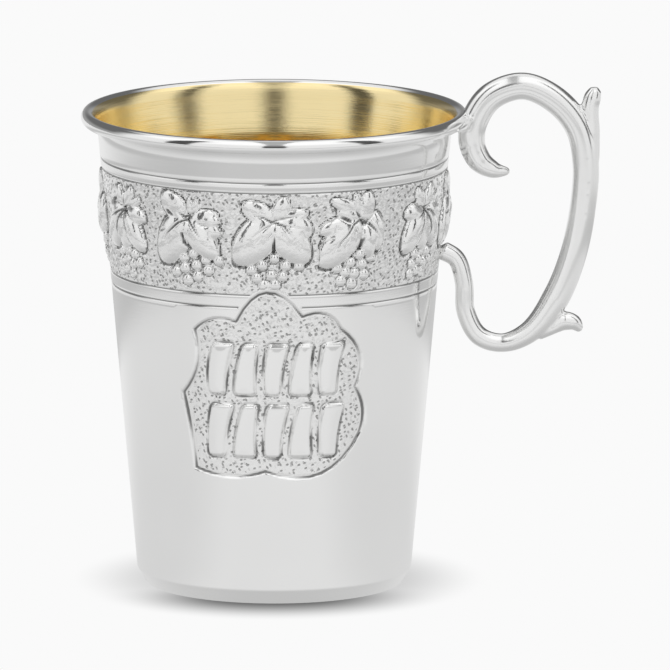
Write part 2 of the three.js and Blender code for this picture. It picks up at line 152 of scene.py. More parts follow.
# ---- Vine leaves ----
# The lobes, veins and grapes of each leaf, at places u, to the right of the heart, and w,
# above it. A lobe is a pillow: the place of its middle, its half length and half width,
# the direction of its length in degrees (90 is up) and how far it stands off the wall.
# A vein is a groove: its half width and depth, and the places that it runs through.
LEAVES = {
    "broad": ([
        (-3.1, -3.1, 4.7, 3.1, 229, 1.35), (2.6, -3.2, 4.2, 2.8, 308, 1.3),
        (3.4, -0.9, 2.7, 2.3, -18, 0.95), (3.1, 1, 2.4, 1.2, 14, 0.8),
        (1.1, 2.2, 2, 1.5, 72, 0.85), (-2.6, 1.5, 2.9, 1.8, 150, 0.9),
    ], [
        (0.16, 0.3, (0.3, 0), (-0.7, 0.3), (-1.7, 0.9), (-3.4, 1.3)),
        (0.15, 0.32, (0.2, 0), (1.5, -0.45), (2.6, -2.1)),
        (0.16, 0.5, (-0.1, -5.1), (-0.12, -3.6), (0, -2)),
        (0.18, 0.16, (-0.2, -0.1), (-1.5, -0.7), (-3.2, -2.2)),
        (0.12, 0.22, (-1.2, 2.9), (-0.6, 2.1), (0.2, 1.9)),
        (0.13, 0.12, (-0.6, -1.6), (-1.5, -2.4), (-1.7, -3.3)),
        (0.13, 0.12, (-2, -2.1), (-2.9, -3.1), (-2.7, -4.4)),
        (0.13, 0.12, (1.3, -1.5), (2, -2.6), (1.9, -4)),
        (0.13, 0.1, (3.4, -3.2), (3.9, -4.2), (3.9, -5)),
        (0.15, 0.2, (0.8, 0.6), (2.2, 0.9), (4.4, 1.3)),
        (0.15, 0.14, (1.3, -0.1), (2.7, -0.6), (4.6, -0.9)),
    ], [
        (0, -5.7), (-1.9, -6.8), (-3.6, -7.6), (1.7, -6.9), (3.8, -6.9), (-2.7, -8.9),
        (-0.5, -8.4), (1.3, -8.6), (-1.6, -10.1), (0.1, -10),
    ]),
    "tilted": ([
        (-2.8, -3.4, 4.6, 3, 240, 1.2), (2.2, -3.1, 3.9, 2.3, 310, 1.35),
        (-2.6, 1.9, 2.9, 2, 140, 0.95), (0.45, 2.1, 1.5, 0.62, 96, 0.75),
        (1.4, 2.1, 1.5, 0.62, 80, 0.75), (2.9, 0.3, 2.4, 1.5, 16, 0.9), (4.2, 0, 1.3, 1.1, 0, 0.9),
        (4, -1.6, 1.7, 1.4, -20, 0.95),
    ], [
        (0.15, 0.32, (0, 0), (-1.4, -0.6), (-3.2, -2.2), (-4.1, -3.5)),
        (0.15, 0.32, (0, 0.1), (1, -0.8), (2.4, -2.7)),
        (0.17, 0.32, (0, 0.1), (-0.8, 0.6), (-1.7, 1.1)),
        (0.13, 0.16, (0, 0.3), (-0.4, 1.1), (-1.1, 2.1)),
        (0.26, 0.42, (-3.6, 1.1), (-3, 0.7), (-2.3, 0.35)),
        (0.17, 0.45, (-0.8, -2.2), (-0.5, -3.8), (0.4, -4.9), (1.4, -5.6)),
        (0.14, 0.14, (-4.7, -2), (-4.2, -1.9), (-3.6, -1.6)),
        (0.14, 0.14, (-3.3, -4.1), (-3.1, -3.3), (-2.9, -2.4)),
        (0.16, 0.26, (0.4, 0.5), (1, 0.9), (1.6, 1.3)),
        (0.14, 0.16, (1.9, -0.4), (3, -0.8), (4.6, -0.8)),
        (0.13, 0.1, (0.5, -1.6), (1, -2.4), (1.8, -3.2)),
    ], [
        (0.7, -5.5), (-1.1, -6.2), (2.8, -6.3), (4.9, -6.3), (1.1, -7.3), (3.1, -8), (-1, -7.9),
        (-2.6, -8.6), (1.2, -9.1), (-0.6, -9.8),
    ]),
    "turned": ([
        (-3.4, -3.6, 4.8, 2.9, 230, 1.35), (1.4, -3.6, 2.9, 1.5, 278, 1.2),
        (2.9, -2.2, 3.2, 1.6, 276, 1.05), (-4.3, -0.9, 3, 1.5, 196, 0.95),
        (-2.9, 2.4, 2.5, 1.1, 158, 0.7), (-2.1, 0.9, 2.2, 1.1, 165, 0.7),
        (1, 2, 2.4, 1.5, 80, 0.85), (-0.5, 2.6, 1.7, 1, 110, 0.7),
    ], [
        (0.15, 0.28, (0, 0), (-1.5, -0.6), (-2.5, -2), (-3.9, -3.4), (-4.9, -4.8)),
        (0.19, 0.36, (0, 0), (1.3, -0.7), (2.1, -1.6), (3, -2.9)),
        (0.24, 0.4, (-2.1, -0.1), (-2.9, 0.3), (-3.9, 0.7)),
        (0.2, 0.34, (-0.3, 0.4), (-0.7, 0.9), (-1.2, 1.6)),
        (0.14, 0.24, (-0.6, 3.3), (-0.1, 3), (0.4, 2.6)),
        (0.2, 0.45, (-0.1, -4.6), (0.1, -3.6), (0.4, -2.7)),
        (0.13, 0.16, (-1, -1.2), (-1.5, -2.1), (-1.2, -3.4)),
        (0.13, 0.14, (-2.4, -2.8), (-3, -3.7), (-2.9, -4.9)),
        (0.14, 0.16, (-6.4, -3.3), (-5.7, -3), (-4.9, -2.7)),
        (0.13, 0.12, (-3.6, -1.3), (-4.2, -1.1), (-4.6, -0.2)),
        (0.13, 0.12, (1.6, 0.2), (2.4, -0.5), (3.6, -0.8)),
    ], [
        (0.1, -5.6), (2.1, -6.2), (-1.5, -6.8), (0.6, -7.2), (-3.7, -7.6), (-2.3, -8.3),
        (-0.7, -8.6), (1.1, -8.9), (-3, -9.7), (-1.1, -10.2),
    ]),
    "narrow": ([
        (-2.6, -3.2, 4, 2.3, 238, 1.3), (2.3, -3.2, 3.8, 2.1, 304, 1.3),
        (-0.1, -3.6, 3.4, 1.5, 270, 1.15), (3.2, -0.6, 2.3, 1.5, -14, 0.9),
        (-3, -0.2, 2.2, 1.5, 184, 0.85), (1.3, 2, 2, 1.2, 62, 0.8), (-1.3, 1.9, 2, 1.2, 118, 0.8),
        (3, 1.4, 1.5, 0.9, 30, 0.7),
    ], [
        (0.16, 0.36, (0, 0), (-0.9, -1.4), (-1.5, -3.2), (-1.6, -4.8)),
        (0.16, 0.36, (0, 0), (0.8, -1.5), (1.3, -3.3), (1.4, -4.9)),
        (0.15, 0.3, (0, 0), (-1.6, -0.7), (-3, -1.4)),
        (0.15, 0.3, (0.1, 0), (1.5, -0.4), (2.9, -1.6)),
        (0.16, 0.3, (0, 0.2), (-0.1, 1.3), (0.1, 2.7)),
        (0.14, 0.22, (0.3, 0.3), (1.6, 0.8), (2.6, 0.9)),
        (0.14, 0.22, (-0.3, 0.2), (-1.5, 0.7), (-2.7, 0.8)),
        (0.13, 0.13, (-2.2, -2.4), (-3, -3.4), (-3.1, -4.4)),
        (0.13, 0.13, (2, -2.2), (2.6, -3.3), (2.7, -4.4)),
    ], [
        (0.1, -6.6), (-1.7, -6.9), (1.9, -7), (-0.5, -8), (-2.3, -8.5), (1.2, -8.6), (2.9, -8.3),
        (-0.9, -9.7), (0.8, -10.2), (-2.5, -10.1),
    ]),
}
LEAF_ORDER = ("broad", "turned", "narrow", "tilted")  # from the front to the right
HANDLE_CLUSTER = 3  # counted from the front, the one behind the handle
MERGE = 5.0  # how sharply neighbouring lobes meet
LOBE_TAPER = 0.25  # how much narrower a lobe is towards its tip
LOBE_FLATNESS = 2.2
UPPER_LOBES = (-0.5, 1.6)  # between these w a leaf gets lower upwards
UPPER_LOSS = 0.32  # and by this share
VEIN_FADE = 0.85  # share of its depth that a vein loses by its end
VEIN_DARK = 0.26  # depth of a vein whose painted shade is quite dark
GRAPE_RADIUS = 0.88
GRAPE_FLATNESS = 2.0
GRAPE_RISES = ((-11.0, -10.0, -8.0, -5.5), (0.22, 0.40, 0.62, 0.72))  # at each w
GRAPE_ON_LEAF = 0.9  # what is left of the rise over a leaf
# The groove round a leaf or a grape: its place, where 1 is the form's edge, its half
# width, depth and the darkness of its painted shade.
LEAF_MOAT = (1.04, 0.07, 0.20, 0.95)
GRAPE_MOAT = (1.12, 0.14, 0.10, 0.75)
FAR = 9.0  # farther than any form reaches
RAISED = 0.35  # how a leaf or grape is marked, where the ground is 1


def lobe_pillow(u, w, lobe):
    """Height of one lobe, and how far out a point lies, 1 at its edge."""
    middle_u, middle_w, half_length, half_width, degrees, rise = lobe
    turn = math.radians(degrees)
    du, dw = u - middle_u, w - middle_w
    p = (du * math.cos(turn) + dw * math.sin(turn)) / half_length
    q = (-du * math.sin(turn) + dw * math.cos(turn)) / half_width
    edge = np.sqrt(p * p + q * q * np.clip(1 + LOBE_TAPER * p, 0.6, 1.4))
    return rise * dome(edge, LOBE_FLATNESS), edge


def vein_depth(u, w, places, half_width, depth):
    """A groove that is deepest near its start and runs out at its end."""
    lengths = [math.dist(a, b) for a, b in zip(places, places[1:])]
    total = sum(lengths)
    carved = np.zeros_like(u)
    start = 0.0
    for (au, aw), (bu, bw), length in zip(places, places[1:], lengths):
        eu, ew = (bu - au) / length, (bw - aw) / length
        along = np.clip((u - au) * eu + (w - aw) * ew, 0, length)
        away = np.hypot(u - au - along * eu, w - aw - along * ew)
        share = (start + along) / total
        fade = (1 - VEIN_FADE * share ** 2) * (0.7 + 0.3 * smooth(0.0, 0.15, share))
        carved = np.maximum(carved, depth * fade * bump(away, 0, half_width))
        start += length
    return carved


def moat(edge, on_ground, plan):
    """Depth and painted shade of the groove round a form, where it lies on the ground."""
    place, half_width, depth, darkness = plan
    cut = bump(edge, place, half_width) * (edge > 1) * on_ground
    return depth * cut, darkness * cut


def cluster_relief(u, w, kind, fine, with_grapes):
    """Leaf and bunch at local places. Gives the height, a mark that is 1 on the bare
    ground and RAISED on the forms, and the painted shade in the cuts."""
    lobes, veins, berries = LEAVES[kind]
    total = np.zeros_like(u)
    nearest = np.full_like(u, FAR)
    for lobe in lobes:
        height, edge = lobe_pillow(u, w, lobe)
        total += height ** MERGE
        nearest = np.minimum(nearest, edge)
    leaf = total ** (1 / MERGE) * (1 - UPPER_LOSS * smooth(*UPPER_LOBES, w))
    on_leaf = smooth(0.02, 0.3, leaf)
    dark = np.zeros_like(u)
    if fine:
        for half_width, depth, *places in veins:
            cut = vein_depth(u, w, places, half_width, depth) * on_leaf
            leaf = leaf - cut
            # Painted shade in the veins.
            dark = np.maximum(dark, cut / VEIN_DARK)
    grapes = np.zeros_like(u)
    gap = np.full_like(u, FAR)
    if with_grapes:
        for gu, gw in berries:
            away = np.hypot(u - gu, w - gw) / GRAPE_RADIUS
            rise = np.interp(gw, *GRAPE_RISES)
            grapes = np.maximum(grapes, rise * dome(away, GRAPE_FLATNESS))
            gap = np.minimum(gap, away)
    relief = np.maximum(leaf, np.where(on_leaf > 0.5, GRAPE_ON_LEAF, 1.0) * grapes)
    if fine:
        for edge, on_ground, plan in ((nearest, grapes < 0.05, LEAF_MOAT),
                                      (gap, on_leaf < 0.05, GRAPE_MOAT)):
            cut, shade = moat(edge, on_ground, plan)
            relief = relief - cut
            # Painted shade in the grooves round the forms.
            dark = np.maximum(dark, shade)
    bare = (1 - smooth(0.0, 0.08, leaf)) * (1 - smooth(0.0, 0.08, grapes))
    return relief, RAISED + (1 - RAISED) * bare, dark


def vine_relief(theta, z, fine):
    """The band of clusters: height, ground mark and painted shade, as in cluster_relief."""
    pitch = TAU / CLUSTERS
    turn = (theta - FRONT) / pitch
    index = np.round(turn).astype(int)
    u = (turn - index) * pitch * wall_at(z)
    w = z - LEAF_HEART
    relief, ground, dark = np.zeros((3, *z.shape))
    in_band = (z > BAND_LINES[0]) & (z < BAND_LINES[1])
    for i in range(CLUSTERS):
        here = in_band & (index % CLUSTERS == i)
        if here.any():
            kind = LEAF_ORDER[i % len(LEAF_ORDER)]
            relief[here], ground[here], dark[here] = cluster_relief(
                u[here], w[here], kind, fine, i != HANDLE_CLUSTER)
    return relief, ground, dark


# ---- Cartouche ----
FIELD_DEPTH = 0.25
FIELD_EDGE = (-0.05, 0.45)  # the step down into the field, across the outline
RIM_CUT = (0.08, 0.22)  # the groove along the outline: its place and half width
RIM_DEPTH = 0.30
# Cusps of the outline as seen from the front, x and z, and the bulge of the arc after
# each one.
CUSPS = [
    (-6.1, 45.6, 4.4), (4.4, 46.5, 1.5), (10.5, 44.2, 1.9), (12.7, 34.7, 0.9),
    (13.4, 27.2, 3.6), (-1.4, 21.5, 1.0), (-12.3, 21.6, -0.2), (-14.3, 33.6, -1.3),
    (-12.6, 43.9, 1.2),
]
ARC_STEPS = 8
CARTOUCHE_HALF_TURN = 0.66  # nothing of it lies outside these
CARTOUCHE_LOW, CARTOUCHE_HIGH = 19, 52
CARTOUCHE_LAP = 1.5  # how far up into the vine band it covers the forms
STROKE_ROWS = ((37.9, 8.2), (28.0, 8.4))  # middle and height of each row
STROKE_SPAN = 20.4
STROKES = 5
STROKE_WIDTH = 2.9
STROKE_CORNER = 0.7
STROKE_RISE = 0.2
STROKE_CROWN = 0.05  # extra height along a stroke's middle
STROKE_EDGE = (-0.12, 0.34)
STROKE_CUT = (-0.24, 0.2)  # the groove round a stroke
STROKE_CUT_DEPTH = 0.2
STROKE_LEAN = 0.9
STROKE_BOW = 0.35  # how far a stroke's ends bend aside of its middle
STROKE_SWELL = 0.35  # one stroke widens upwards, the next one downwards


def cartouche_outline():
    """The cusps joined by shallow arcs, as points."""
    points = []
    for (x0, z0, bulge), (x1, z1, _) in zip(CUSPS, CUSPS[1:] + CUSPS[:1]):
        chord = math.hypot(x1 - x0, z1 - z0)
        side = (-(z1 - z0) / chord, (x1 - x0) / chord)
        for step in range(ARC_STEPS):
            t = step / ARC_STEPS
            swell = 4 * t * (1 - t) * bulge
            points.append((x0 + t * (x1 - x0) + swell * side[0],
                           z0 + t * (z1 - z0) + swell * side[1]))
    return np.array(points)


OUTLINE = cartouche_outline()


def inside_distance(x, z):
    """Distance to the cartouche's outline, positive inside it."""
    nearest = np.full_like(x, 1e9)
    inside = np.zeros(x.shape, dtype=bool)
    following = np.roll(OUTLINE, -1, axis=0)
    for (ax, az), (bx, bz) in zip(OUTLINE, following):
        ex, ez = bx - ax, bz - az
        t = np.clip(((x - ax) * ex + (z - az) * ez) / (ex * ex + ez * ez), 0, 1)
        nearest = np.minimum(nearest, np.hypot(x - ax - t * ex, z - az - t * ez))
        if az != bz:
            inside ^= ((az > z) != (bz > z)) & (x < ex * (z - az) / ez + ax)
    return np.where(inside, nearest, -nearest)


def stroke_distance(x, z):
    """Distance inside the nearest raised stroke, negative outside."""
    best = np.full_like(x, -FAR)
    for middle, height in STROKE_ROWS:
        for i in range(STROKES):
            centre = (i / (STROKES - 1) - 0.5) * (STROKE_SPAN - STROKE_WIDTH)
            rise = (z - middle) / height
            lean = STROKE_LEAN * rise + STROKE_BOW * (4 * rise * rise - 0.5)
            width = STROKE_WIDTH * (1 + STROKE_SWELL * rise * (-1) ** i)
            dx = np.abs(x - centre - lean) - (width / 2 - STROKE_CORNER)
            dz = np.abs(z - middle) - (height / 2 - STROKE_CORNER)
            outer = np.hypot(np.maximum(dx, 0), np.maximum(dz, 0))
            inner = np.minimum(np.maximum(dx, dz), 0)
            best = np.maximum(best, STROKE_CORNER - outer - inner)
    return best


def cartouche_relief(theta, z, fine):
    """The sunk field and its strokes: height, ground mark and painted shade."""
    turn = (theta - FRONT + math.pi) % TAU - math.pi
    relief, ground, dark = np.zeros((3, *z.shape))
    near = ((np.abs(turn) < CARTOUCHE_HALF_TURN)
            & (z > CARTOUCHE_LOW) & (z < CARTOUCHE_HIGH))
    zn = z[near]
    x = wall_at(zn) * np.sin(turn[near])
    depth = inside_distance(x, zn)
    stroke = stroke_distance(x, zn)
    field = -FIELD_DEPTH * smooth(*FIELD_EDGE, depth)
    rim_cut = bump(depth, *RIM_CUT)
    if fine:
        field = field - RIM_DEPTH * rim_cut
    top = smooth(*STROKE_EDGE, stroke)
    crown = STROKE_RISE + STROKE_CROWN * smooth(0.3, 1.4, stroke)
    relief[near] = field * (1 - top) + crown * top
    if fine:
        # The cuts are worked by hand, so they are deeper in some places; the painted shade in them
        # is darker in some places too.
        uneven_rim = 0.72 + 0.28 * np.sin(0.7 * x - 0.45 * zn)
        uneven_stroke = 0.62 + 0.38 * np.sin(1.15 * x + 0.8) * np.sin(0.9 * zn - 0.5 * x)
        stroke_cut = bump(stroke, *STROKE_CUT) * uneven_stroke
        relief[near] -= STROKE_CUT_DEPTH * stroke_cut
        dark[near] = np.maximum(rim_cut * uneven_rim, stroke_cut)
    ground[near] = smooth(0.35, 0.6, depth) * (1 - smooth(-0.35, -0.1, stroke))
    return relief, ground, dark


# ---- The beaker's outer face ----
def outer_relief(theta, z, fine=True):
    """Height off the plain wall, the ground mark, and the painted shade in the cuts.
    Without fine it has the large forms alone."""
    relief, ground, dark = vine_relief(theta, z, fine)
    shield, shield_ground, shield_dark = cartouche_relief(theta, z, fine)
    over = np.abs(shield) > 1e-6
    covered = over & (z < BAND_LINES[0] + CARTOUCHE_LAP)
    relief = np.where(covered, shield, relief + shield)
    ground = np.where(over, shield_ground, ground)
    dark = np.where(over, shield_dark, dark)
    if fine:
        marks = punch_marks(theta, z)
        relief = relief + ground * (marks + SWELL * unevenness(theta, z))
        for line in BAND_LINES + OUTER_LINES:
            cut = bump(z, line, LINE_HALF_WIDTH) * (~over)
            relief = relief - LINE_DEPTH * cut
            # Painted shade in the engraved lines.
            dark = np.maximum(dark, LINE_DARK * cut)
    return relief, ground, dark


def outer_points(theta, z):
    relief, ground, dark = outer_relief(theta, z)
    return ring_points(wall_at(z) + relief, z, theta), ground, dark


def outer_surface(theta, height):
    """A row of points, with normals from the slope to their neighbours, the painted shade
    of the cuts and the ground mark."""
    z = np.full(theta.shape, height)
    step = 0.11
    turn = step / wall_at(z)
    points, ground, dark = outer_points(theta, z)
    across = outer_points(theta + turn, z)[0] - outer_points(theta - turn, z)[0]
    upward = outer_points(theta, z + step)[0] - outer_points(theta, z - step)[0]
    normals = np.cross(across, upward)
    normals /= np.linalg.norm(normals, axis=1)[:, None]
    return points, normals, np.clip(dark, 0, 1), ground


# ---- Mesh building ----
def add_object(name, mesh):
    thing = bpy.data.objects.new(name, mesh)
    bpy.context.scene.collection.objects.link(thing)
    return thing


class Surface:
    """Vertices with optional exact normals and marks for the materials, and faces with
    a material number."""

    def __init__(self):
        self.points, self.normals, self.faces, self.materials = [], [], [], []
        # The first mark is painted shade in the cuts of the chasing.
        self.marks = {"cut_shade": [], "ground": [], "along": []}
        self.count = 0
        self.last = None

    def add(self, points, normals=0.0, cut_shade=0.0, ground=0.0):
        points = np.array(points, dtype=float)
        n = len(points)
        turns = np.arctan2(points[:, 1], points[:, 0])
        along = (turns - FRONT + math.pi) % TAU * WALL_MIDDLE_RADIUS
        self.points.append(points)
        self.normals.append(np.broadcast_to(normals, (n, 3)))
        for label, values in zip(self.marks, (cut_shade, ground, along)):
            self.marks[label].append(np.broadcast_to(values, n))
        self.count += n
        return np.arange(self.count - n, self.count)

    def face(self, corners, material):
        self.faces.append(tuple(int(c) for c in corners))
        self.materials.append(material)

    def strip(self, low, high, material):
        """Joins two open rows of the same number of points."""
        for i in range(len(low) - 1):
            self.face((low[i], low[i + 1], high[i + 1], high[i]), material)

    def cap(self, ring, middle, material):
        """Closes a ring with a fan of triangles."""
        for this, following in zip(ring, np.roll(ring, -1)):
            self.face((this, following, middle), material)

    def stitch(self, low, low_turns, high, high_turns, material):
        """Joins two closed rings, whose points lie at the given turns in rising order.
        Seen from outside, low is the lower ring."""
        a, b = len(low), len(high)
        if a == b and np.allclose(low_turns, high_turns):
            self.strip([*low, low[0]], [*high, high[0]], material)
            return
        i = j = 0
        while i < a or j < b:
            next_low = low_turns[i + 1] if i + 1 < a else low_turns[0] + TAU
            next_high = high_turns[j + 1] if j + 1 < b else high_turns[0] + TAU
            if j >= b or (i < a and next_low <= next_high):
                self.face((low[i % a], low[(i + 1) % a], high[j % b]), material)
                i += 1
            else:
                self.face((low[i % a], high[(j + 1) % b], high[j % b]), material)
                j += 1

    def ring(self, turns, material, *points_and_marks):
        """Adds a closed ring and joins it to the last one."""
        ring = self.add(*points_and_marks)
        if self.last is not None:
            self.stitch(*self.last, ring, turns, material)
        self.last = ring, turns

    def build(self, name, materials):
        points = np.concatenate(self.points) * MM
        mesh = bpy.data.meshes.new(name)
        mesh.from_pydata(points.tolist(), [], self.faces)
        for material in materials:
            mesh.materials.append(material)
        mesh.polygons.foreach_set("material_index", self.materials)
        mesh.shade_smooth()
        for label, values in self.marks.items():
            layer = mesh.attributes.new(label, "FLOAT", "POINT")
            layer.data.foreach_set("value", np.concatenate(values).astype(np.float32))
        mesh.update()
        exact = np.concatenate(self.normals)
        own = np.empty(len(points) * 3, dtype=np.float32)
        mesh.vertex_normals.foreach_get("vector", own)
        own = own.reshape(-1, 3)
        known = np.linalg.norm(exact, axis=1) > 0.5
        own[known] = exact[known]
        mesh.normals_split_custom_set_from_vertices(own.tolist())
        return add_object(name, mesh)


def even_turns(count):
    return np.arange(count) / count * TAU


def ring_points(radius, z, turns):
    return np.stack([radius * np.cos(turns), radius * np.sin(turns),
                     np.full(turns.shape, z)], axis=-1)


def graded(low, high, step, lines=()):
    """Heights from low to high about step apart, with extra ones at engraved lines."""
    count = max(1, round((high - low) / step))
    heights = list(np.linspace(low, high, count + 1))
    for line in lines:
        heights = [z for z in heights if abs(z - line) > LINE_CLEAR or z in (low, high)]
        heights += [line + side * LINE_HALF_WIDTH for side in (-2, -1, 0, 1, 2)]
    return np.array(sorted(heights))


def bend_profile(start, control, end, steps):
    """Radius and height along a quadratic curve."""
    ts = np.linspace(0, 1, steps + 1)
    return [tuple((1 - t) ** 2 * s + 2 * t * (1 - t) * c + t ** 2 * e
                  for s, c, e in zip(start, control, end)) for t in ts]


SILVER, GILT = 0, 1
# The beaker's mesh, from below: plain cone, shield zone with the cartouche, vine band.
PLAIN_COLUMNS = 200
SHIELD_COLUMNS = 140  # in front alone; the rest of the zone is plain
SHIELD_HALF_TURN = math.radians(36)
SHIELD_LOW, SHIELD_STEP = 19.3, 0.265
PLAIN_EVERY = 8  # rows of the shield for each row of the plain wall
BAND_COLUMNS = 620
BAND_LOW, BAND_HIGH, BAND_STEP = 49.35, 66.75, 0.235
INSIDE_COLUMNS = 240
INSIDE_ROWS = 40
REVERSE = 0.72  # how much of the chasing shows inside
GILT_START = 3  # rings of the bell mouth that stay silver


def plain_rings(surface, profile, turns, material):
    """Smooth rings along a profile of radius and height."""
    for radius, z in profile:
        surface.ring(turns, material, ring_points(radius, z, turns))


def wall_rings(surface, heights, columns):
    """Rings of the worked outer face."""
    turns = even_turns(columns)
    for z in heights:
        surface.ring(turns, SILVER, *outer_surface(turns, z))


def beaker_foot(surface, turns):
    """Underside and turned-in foot, up to the cone."""
    middle = surface.add([(0.0, 0.0, 0.0)])[0]
    plain_rings(surface, [(8.0, 0.0)], turns, SILVER)
    surface.cap(surface.last[0][::-1], middle, SILVER)
    profile = [(radius, 0.0) for radius in (15.0, FOOT_RADIUS - 0.7, FOOT_RADIUS - 0.2)]
    profile += bend_profile((FOOT_RADIUS - 0.15, 0.0), (FOOT_RADIUS, 0.0),
                            (FOOT_RADIUS + 0.1, 0.16), 3)
    knee = wall_at(FOOT_HEIGHT)
    profile += [(knee - 0.62, FOOT_HEIGHT - 0.95)]
    profile += bend_profile((knee - 0.16, FOOT_HEIGHT - 0.24), (knee, FOOT_HEIGHT),
                            (wall_at(CONE_FOOT), CONE_FOOT), 4)
    plain_rings(surface, profile, turns, SILVER)


def shield_zone(surface):
    """The wall's part with the cartouche: fine in front, coarse round the rest."""
    heights = graded(SHIELD_LOW, BAND_LOW, SHIELD_STEP, OUTER_LINES[:1])
    left = FRONT - SHIELD_HALF_TURN
    fine_turns = left + np.linspace(0, 2 * SHIELD_HALF_TURN, SHIELD_COLUMNS + 1)
    coarse_step = TAU / PLAIN_COLUMNS
    coarse_count = round((TAU - 2 * SHIELD_HALF_TURN) / coarse_step)
    coarse_turns = fine_turns[-1] + coarse_step * np.arange(1, coarse_count)
    line = OUTER_LINES[0]
    last = len(heights) - 1
    rows = [i for i, z in enumerate(heights)
            if i % PLAIN_EVERY == 0 or abs(z - line) < LINE_CLEAR or i == last]
    fine = [surface.add(*outer_surface(fine_turns, z)) for z in heights]
    coarse = {i: surface.add(*outer_surface(coarse_turns, heights[i])) for i in rows}
    for lower, upper in zip(fine, fine[1:]):
        surface.strip(lower, upper, SILVER)
    for low_row, high_row in zip(rows, rows[1:]):
        lower, upper = coarse[low_row], coarse[high_row]
        surface.strip(lower, upper, SILVER)
        # Fans of triangles join the coarse rows to the fine ones, first on the right.
        for seam_end, end, way in ((-1, 0, 1), (0, -1, -1)):
            seam = [ring[seam_end] for ring in fine[low_row:high_row + 1]]
            split = len(seam) // 2
            for k, (a, b) in enumerate(zip(seam, seam[1:])):
                surface.face((a, (lower if k < split else upper)[end], b)[::way], SILVER)
            surface.face((seam[split], lower[end], upper[end])[::way], SILVER)
    turns = np.concatenate([fine_turns, coarse_turns])
    bottom = np.concatenate([fine[0], coarse[0]])
    top = np.concatenate([fine[-1], coarse[last]])
    roll = int(np.argmax(turns >= 0))
    turns = np.roll(turns, -roll) % TAU
    bottom, top = np.roll(bottom, -roll), np.roll(top, -roll)
    surface.stitch(*surface.last, bottom, turns, SILVER)
    surface.last = top, turns


def lip_front(x, z):
    """The rolled lip from under its outer edge to its top, fuller than a circle."""
    points = []
    for turn in np.radians(np.linspace(-120, 90, 24)):
        out, up = math.cos(turn), math.sin(turn)
        fuller = math.copysign(abs(out) ** BEAD_FULLNESS, out)
        flatter = math.copysign(abs(up) ** BEAD_FLATNESS, up)
        points.append((x + BEAD_RADIUS * fuller, z + BEAD_RADIUS * flatter))
    return points


def lip_profile():
    """From the top of the straight wall round the bead, and from there down inside. The
    inside is a round crown, a shoulder and a bell that runs into the straight wall."""
    neck = wall_at(NECK_HEIGHT)
    bead = lip_front(LIP_RADIUS - BEAD_RADIUS, CUP_HEIGHT - BEAD_RADIUS)
    under = bend_profile((neck, NECK_HEIGHT), (neck + 0.15, bead[0][1] - 0.5), bead[0], 7)
    bell_foot = CUP_HEIGHT - FLARE_DROP
    inner = wall_at(bell_foot) - SHEET
    shoulder = (inner + 1.12, CUP_HEIGHT - 2.7)
    crown_pull = (shoulder[0] + 0.3, CUP_HEIGHT - 0.25)
    bell_pull = (inner + 0.55, CUP_HEIGHT - 5.4)
    crown = bend_profile(bead[-1], crown_pull, shoulder, 9)
    bell = bend_profile(shoulder, bell_pull, (inner, bell_foot), 6)
    return under[:-1] + bead, crown[1:] + bell[1:]


def inner_surface(turns, z):
    """Inside of the wall, with the reverse of the chasing."""
    relief = outer_relief(turns, np.full(turns.shape, z), fine=False)[0]
    return ring_points(wall_at(z) - SHEET + REVERSE * relief, z, turns)


def floor_profile():
    """The inside below the cartouche: wall, round corner and floor."""
    edge = FLOOR_THICKNESS + FLOOR_CORNER
    inner = wall_at(edge) - SHEET
    wall = [(wall_at(z) - SHEET, z) for z in np.linspace(SHIELD_LOW - 1, edge, 5)]
    corner = bend_profile((inner, edge), (inner - 0.1, FLOOR_THICKNESS),
                          (inner - FLOOR_CORNER, FLOOR_THICKNESS), 5)
    floor = [(inner * share, FLOOR_THICKNESS) for share in (0.8, 0.5, 0.2)]
    return wall + corner[1:] + floor


def beaker(materials):
    """The whole beaker as one skin: up the outside, over the lip and down the inside."""
    surface = Surface()
    plain = even_turns(PLAIN_COLUMNS)
    beaker_foot(surface, plain)
    wall_rings(surface, np.linspace(CONE_FOOT, SHIELD_LOW - 0.6, 8)[1:], PLAIN_COLUMNS)
    shield_zone(surface)
    band = graded(BAND_LOW, BAND_HIGH, BAND_STEP, BAND_LINES)[1:]
    wall_rings(surface, band, BAND_COLUMNS)
    neck = graded(BAND_HIGH + 0.25, NECK_HEIGHT - 0.3, 0.9, OUTER_LINES[1:])
    wall_rings(surface, neck, PLAIN_COLUMNS)
    over, bell = lip_profile()
    plain_rings(surface, over + bell[:GILT_START], plain, SILVER)
    plain_rings(surface, bell[GILT_START:], plain, GILT)
    inside = even_turns(INSIDE_COLUMNS)
    for z in np.linspace(BAND_HIGH - 0.5, SHIELD_LOW, INSIDE_ROWS):
        surface.ring(inside, GILT, inner_surface(inside, z))
    plain_rings(surface, floor_profile(), plain, GILT)
    middle = surface.add([(0.0, 0.0, FLOOR_THICKNESS)])[0]
    surface.cap(surface.last[0], middle, GILT)
    return surface.build("cup_body_chased", materials)


# ---- The handle ----
# Stations along each bar: x, z and width. The curl's end is the first one of the rod.
ROD = [
    (36.7, 65.15, 1.2), (34.5, 65.4, 2.75), (32.2, 66.9, 3.85), (30.95, 69.9, 4.25),
    (31.5, 73.6, 4.4), (34.0, 77.1, 4.4), (39.0, 78.75, 4.3), (44.1, 76.5, 4.35),
    (47.65, 72.2, 4.25), (48.85, 66.5, 4.2), (48.45, 59.5, 4.15), (46.9, 51.8, 4.3),
    (44.1, 44.75, 4.4), (40.1, 39.55, 3.55), (35.9, 37.8, 2.95), (32.15, 38.95, 3.1),
    (30.1, 42.8, 3.0), (29.8, 47.4, 2.9), (28.6, 51.2, 2.9), (26.4, 52.6, 3.1),
]
THUMB_LEAF = [
    (50.0, 63.0, 0.9), (50.1, 67.5, 1.9), (49.75, 71.5, 2.7), (49.5, 75.2, 2.85),
    (49.9, 77.0, 2.8), (50.4, 78.15, 2.0),
]
